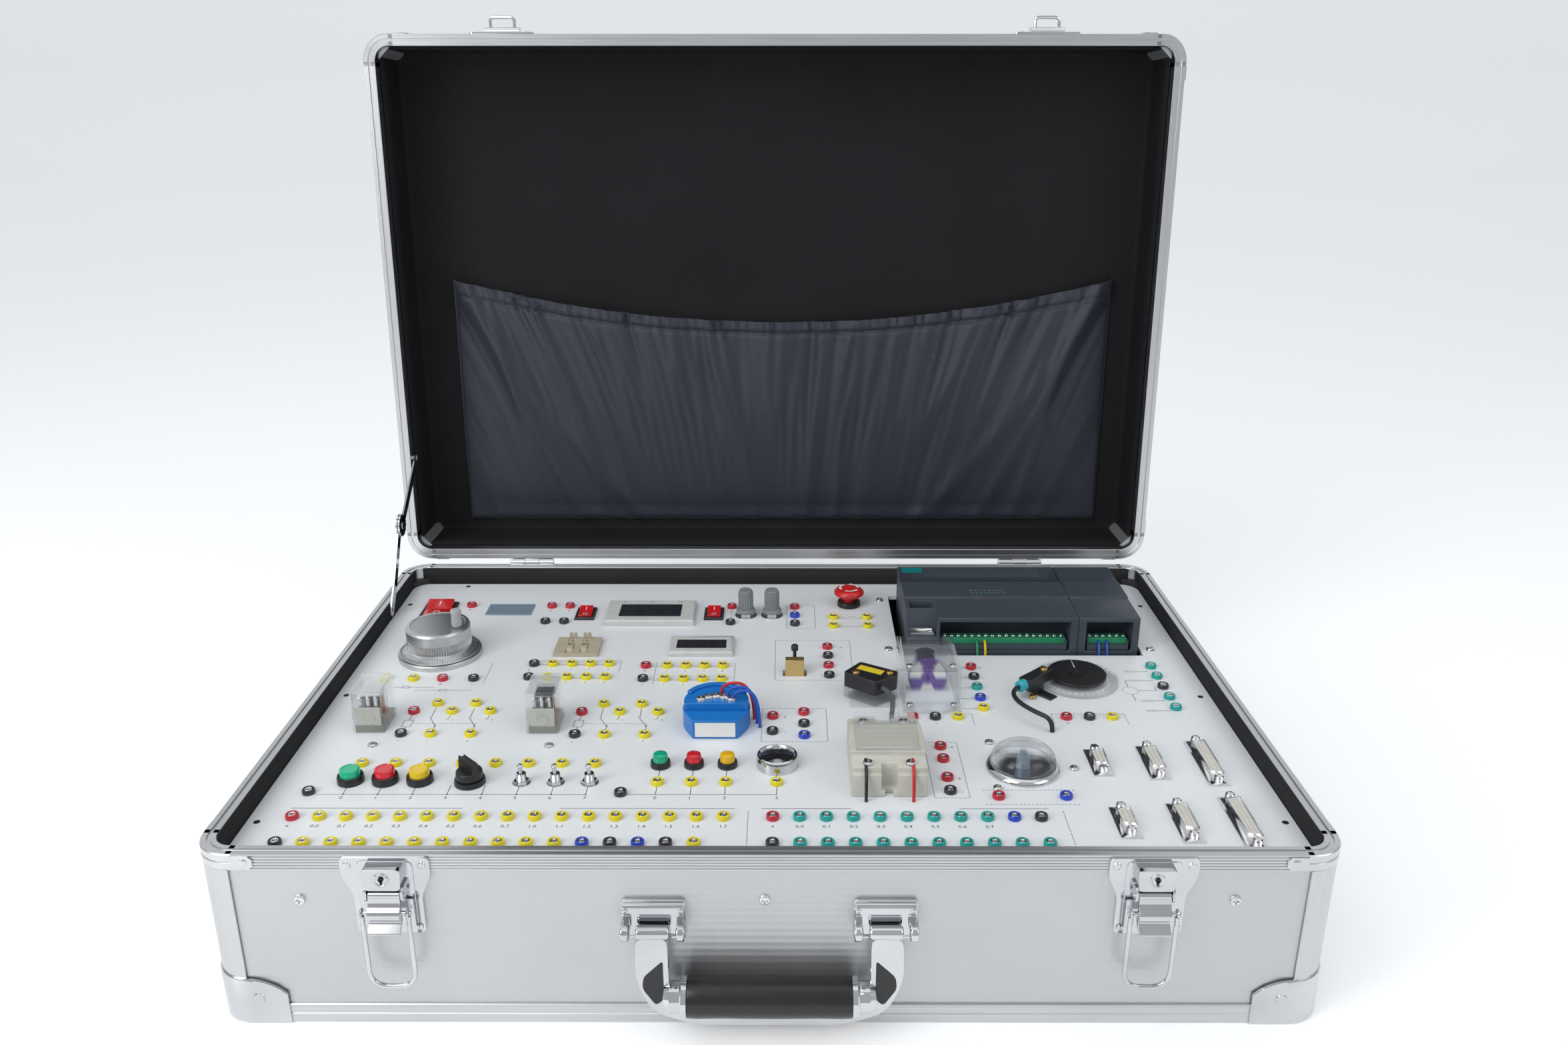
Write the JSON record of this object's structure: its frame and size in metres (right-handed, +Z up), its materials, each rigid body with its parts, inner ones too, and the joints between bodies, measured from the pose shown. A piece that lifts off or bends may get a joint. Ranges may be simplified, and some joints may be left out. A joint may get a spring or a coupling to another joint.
{
  "type": "programmable logic controller trainer",
  "caption": "Bench trainer for programmable controllers in an aluminium carrying case: faceplate with sockets, switches, meters, sensors and motors under a hinged lid with a cloth pocket.",
  "frame": {"origin": "middle of the bottom of the case base, on the surface that it stands on", "axes": "+X right, +Y from the handle side to the hinge side, +Z up"},
  "size_m": [0.6224, 0.5281, 0.5415],
  "materials": {
    "panel_skin": "silver embossed sheet over plywood, charcoal felt inside",
    "profile": "brushed anodised extrusions and cast corners",
    "hardware": "nickel plated pressed steel",
    "black_plastic": "moulded black plastic",
    "faceplate": "satin printed plate",
    "lining": "black woven lining",
    "pocket": "dark nylon",
    "rubber": "black rubber",
    "jack_red": "red plastic",
    "jack_black": "black plastic",
    "jack_yellow": "yellow plastic",
    "jack_teal": "green plastic",
    "jack_blue": "blue plastic",
    "red_plastic": "red plastic",
    "green_plastic": "green translucent plastic",
    "yellow_plastic": "yellow translucent plastic",
    "grey_plastic": "grey plastic",
    "white_plastic": "white plastic",
    "beige_plastic": "beige plastic",
    "blue_plastic": "blue plastic",
    "slate_plastic": "dark blue grey moulded plastic",
    "purple_plastic": "dark purple plastic",
    "clear": "clear plastic",
    "steel": "plated steel",
    "brass": "bare brass",
    "wiring": "coloured wire insulation"
  },
  "bodies": {
    "base": {"base_shell": "panel_skin", "base_frame": "profile", "case_hardware": "hardware", "internal_chassis": "steel", "faceplate": "faceplate", "jacks_red": "jack_red", "jacks_black": "jack_black", "jacks_yellow": "jack_yellow", "jacks_teal": "jack_teal", "jacks_blue": "jack_blue", "control_bezels": "black_plastic", "encoder_flange": "profile", "code_switch_housing": "beige_plastic", "meter_cases": "white_plastic", "relay_cores": "grey_plastic", "clear_covers": "clear", "ssr_body": "beige_plastic", "transmitter_body": "blue_plastic", "lamp_holder": "hardware", "buzzer": "hardware", "indicator_lenses": "yellow_plastic", "serial_sockets": "steel", "sensors": "black_plastic", "motor_body": "steel", "heater_block": "brass", "panel_fasteners": "steel", "controller_units": "slate_plastic", "panel_wiring": "wiring"},
    "lid": {"lid_shell": "panel_skin", "lid_lining": "lining", "lid_frame": "profile", "lid_hardware": "hardware", "lid_feet": "rubber", "lid_pocket": "pocket"},
    "stay_lower_arm_body": {"stay_lower_arm": "hardware"},
    "stay_upper_arm_body": {"stay_upper_arm": "hardware"},
    "latch_lever_left_body": {"latch_lever_left": "hardware"},
    "latch_lever_right_body": {"latch_lever_right": "hardware"},
    "latch_bail_left_body": {"latch_bail_left": "hardware"},
    "latch_bail_right_body": {"latch_bail_right": "hardware"},
    "carry_handle_body": {"carry_handle": "hardware"},
    "rocker_main_body": {"rocker_main": "red_plastic"},
    "rocker_supply_body": {"rocker_supply": "red_plastic"},
    "rocker_output_body": {"rocker_output": "red_plastic"},
    "push_green_body": {"push_green": "green_plastic"},
    "push_red_body": {"push_red": "red_plastic"},
    "push_yellow_body": {"push_yellow": "yellow_plastic"},
    "selector_knob_body": {"selector_knob": "black_plastic"},
    "toggle_lever_1_body": {"toggle_lever_1": "steel"},
    "toggle_lever_2_body": {"toggle_lever_2": "steel"},
    "toggle_lever_3_body": {"toggle_lever_3": "steel"},
    "estop_button_body": {"estop_button": "red_plastic"},
    "pot_knob_1_body": {"pot_knob_1": "grey_plastic"},
    "pot_knob_2_body": {"pot_knob_2": "grey_plastic"},
    "handwheel_body": {"handwheel": "profile"},
    "finger_handle_body": {"finger_handle": "grey_plastic"},
    "digit_wheel_1_body": {"digit_wheel_1": "beige_plastic"},
    "digit_wheel_2_body": {"digit_wheel_2": "beige_plastic"},
    "motor_disc_body": {"motor_disc": "purple_plastic"},
    "stepper_disc_body": {"stepper_disc": "black_plastic"}
  },
  "joints": [
    {"name": "lid_hinge", "type": "hinge", "parent": "base", "child": "lid", "pos_m": [0, 0.21065, 0.111], "axis": [1, 0, 0], "range_deg": [0, 92.95]},
    {"name": "stay_lower_pivot", "type": "hinge", "parent": "base", "child": "stay_lower_arm_body", "pos_m": [-0.3005, 0.1245, 0.1035], "axis": [1, 0, 0], "range_deg": [0, 123.24]},
    {"name": "stay_upper_pivot", "type": "hinge", "parent": "lid", "child": "stay_upper_arm_body", "pos_m": [-0.3005, 0.222, 0.2], "axis": [1, 0, 0], "range_deg": [-120.05, 0]},
    {"name": "latch_lever_left_pivot", "type": "hinge", "parent": "base", "child": "latch_lever_left_body", "pos_m": [-0.205, -0.2135, 0.09], "axis": [1, 0, 0], "range_deg": [-95, 0]},
    {"name": "latch_bail_left_pivot", "type": "hinge", "parent": "latch_lever_left_body", "child": "latch_bail_left_body", "pos_m": [-0.205, -0.2165, 0.0805], "axis": [1, 0, 0], "range_deg": [-100, 0]},
    {"name": "latch_lever_right_pivot", "type": "hinge", "parent": "base", "child": "latch_lever_right_body", "pos_m": [0.205, -0.2135, 0.09], "axis": [1, 0, 0], "range_deg": [-95, 0]},
    {"name": "latch_bail_right_pivot", "type": "hinge", "parent": "latch_lever_right_body", "child": "latch_bail_right_body", "pos_m": [0.205, -0.2165, 0.0805], "axis": [1, 0, 0], "range_deg": [-100, 0]},
    {"name": "carry_handle_pivot", "type": "hinge", "parent": "base", "child": "carry_handle_body", "pos_m": [0, -0.2165, 0.0682], "axis": [1, 0, 0], "range_deg": [-95, 0]},
    {"name": "rocker_main_pivot", "type": "hinge", "parent": "base", "child": "rocker_main_body", "pos_m": [-0.2676, 0.1385, 0.0982], "axis": [1, 0, 0], "range_deg": [-20, 0]},
    {"name": "rocker_supply_pivot", "type": "hinge", "parent": "base", "child": "rocker_supply_body", "pos_m": [-0.1495, 0.1325, 0.0982], "axis": [1, 0, 0], "range_deg": [-20, 0]},
    {"name": "rocker_output_pivot", "type": "hinge", "parent": "base", "child": "rocker_output_body", "pos_m": [-0.0481, 0.1325, 0.0982], "axis": [1, 0, 0], "range_deg": [-20, 0]},
    {"name": "push_green_slide", "type": "slide", "parent": "base", "child": "push_green_body", "axis": [0, 0, 1], "range_m": [-0.0025, 0], "stiffness_N_per_m": 400},
    {"name": "push_red_slide", "type": "slide", "parent": "base", "child": "push_red_body", "axis": [0, 0, 1], "range_m": [-0.0025, 0], "stiffness_N_per_m": 400},
    {"name": "push_yellow_slide", "type": "slide", "parent": "base", "child": "push_yellow_body", "axis": [0, 0, 1], "range_m": [-0.0025, 0], "stiffness_N_per_m": 400},
    {"name": "selector_turn", "type": "hinge", "parent": "base", "child": "selector_knob_body", "pos_m": [-0.1824, -0.1144, 0.1063], "axis": [0, 0, 1], "range_deg": [-90, 0]},
    {"name": "toggle_1_pivot", "type": "hinge", "parent": "base", "child": "toggle_lever_1_body", "pos_m": [-0.1511, -0.1149, 0.1021], "axis": [1, 0, 0], "range_deg": [-24, 0]},
    {"name": "toggle_2_pivot", "type": "hinge", "parent": "base", "child": "toggle_lever_2_body", "pos_m": [-0.1305, -0.1149, 0.1021], "axis": [1, 0, 0], "range_deg": [-24, 0]},
    {"name": "toggle_3_pivot", "type": "hinge", "parent": "base", "child": "toggle_lever_3_body", "pos_m": [-0.1099, -0.1149, 0.1021], "axis": [1, 0, 0], "range_deg": [-24, 0]},
    {"name": "estop_slide", "type": "slide", "parent": "base", "child": "estop_button_body", "axis": [0, 0, 1], "range_m": [-0.0027, 0]},
    {"name": "pot_1_turn", "type": "hinge", "parent": "base", "child": "pot_knob_1_body", "pos_m": [-0.0229, 0.1317, 0.1196], "axis": [0, 0, 1], "range_deg": [-150, 150]},
    {"name": "pot_2_turn", "type": "hinge", "parent": "base", "child": "pot_knob_2_body", "pos_m": [-0.0024, 0.1317, 0.1196], "axis": [0, 0, 1], "range_deg": [-150, 150]},
    {"name": "handwheel_turn", "type": "hinge", "parent": "base", "child": "handwheel_body", "pos_m": [-0.246, 0.0617, 0.1223], "axis": [0, 0, 1], "continuous": true},
    {"name": "finger_handle_spin", "type": "hinge", "parent": "handwheel_body", "child": "finger_handle_body", "pos_m": [-0.2305, 0.0563, 0.1273], "axis": [0, 0, 1], "continuous": true},
    {"name": "digit_wheel_1_turn", "type": "hinge", "parent": "base", "child": "digit_wheel_1_body", "pos_m": [-0.15125, 0.067, 0.0934], "axis": [1, 0, 0], "continuous": true},
    {"name": "digit_wheel_2_turn", "type": "hinge", "parent": "base", "child": "digit_wheel_2_body", "pos_m": [-0.14075, 0.067, 0.0934], "axis": [1, 0, 0], "continuous": true},
    {"name": "motor_turn", "type": "hinge", "parent": "base", "child": "motor_disc_body", "pos_m": [0.1072, 0.008, 0.1064], "axis": [0, 1, 0], "continuous": true},
    {"name": "stepper_turn", "type": "hinge", "parent": "base", "child": "stepper_disc_body", "pos_m": [0.2139, 0.021, 0.1016], "axis": [0, 0, 1], "continuous": true}
  ],
  "couplings": [
    {"joint": "stay_lower_pivot", "follows": "lid_hinge", "ratio": 1.3237},
    {"joint": "stay_upper_pivot", "follows": "lid_hinge", "ratio": -1.2894}
  ]
}
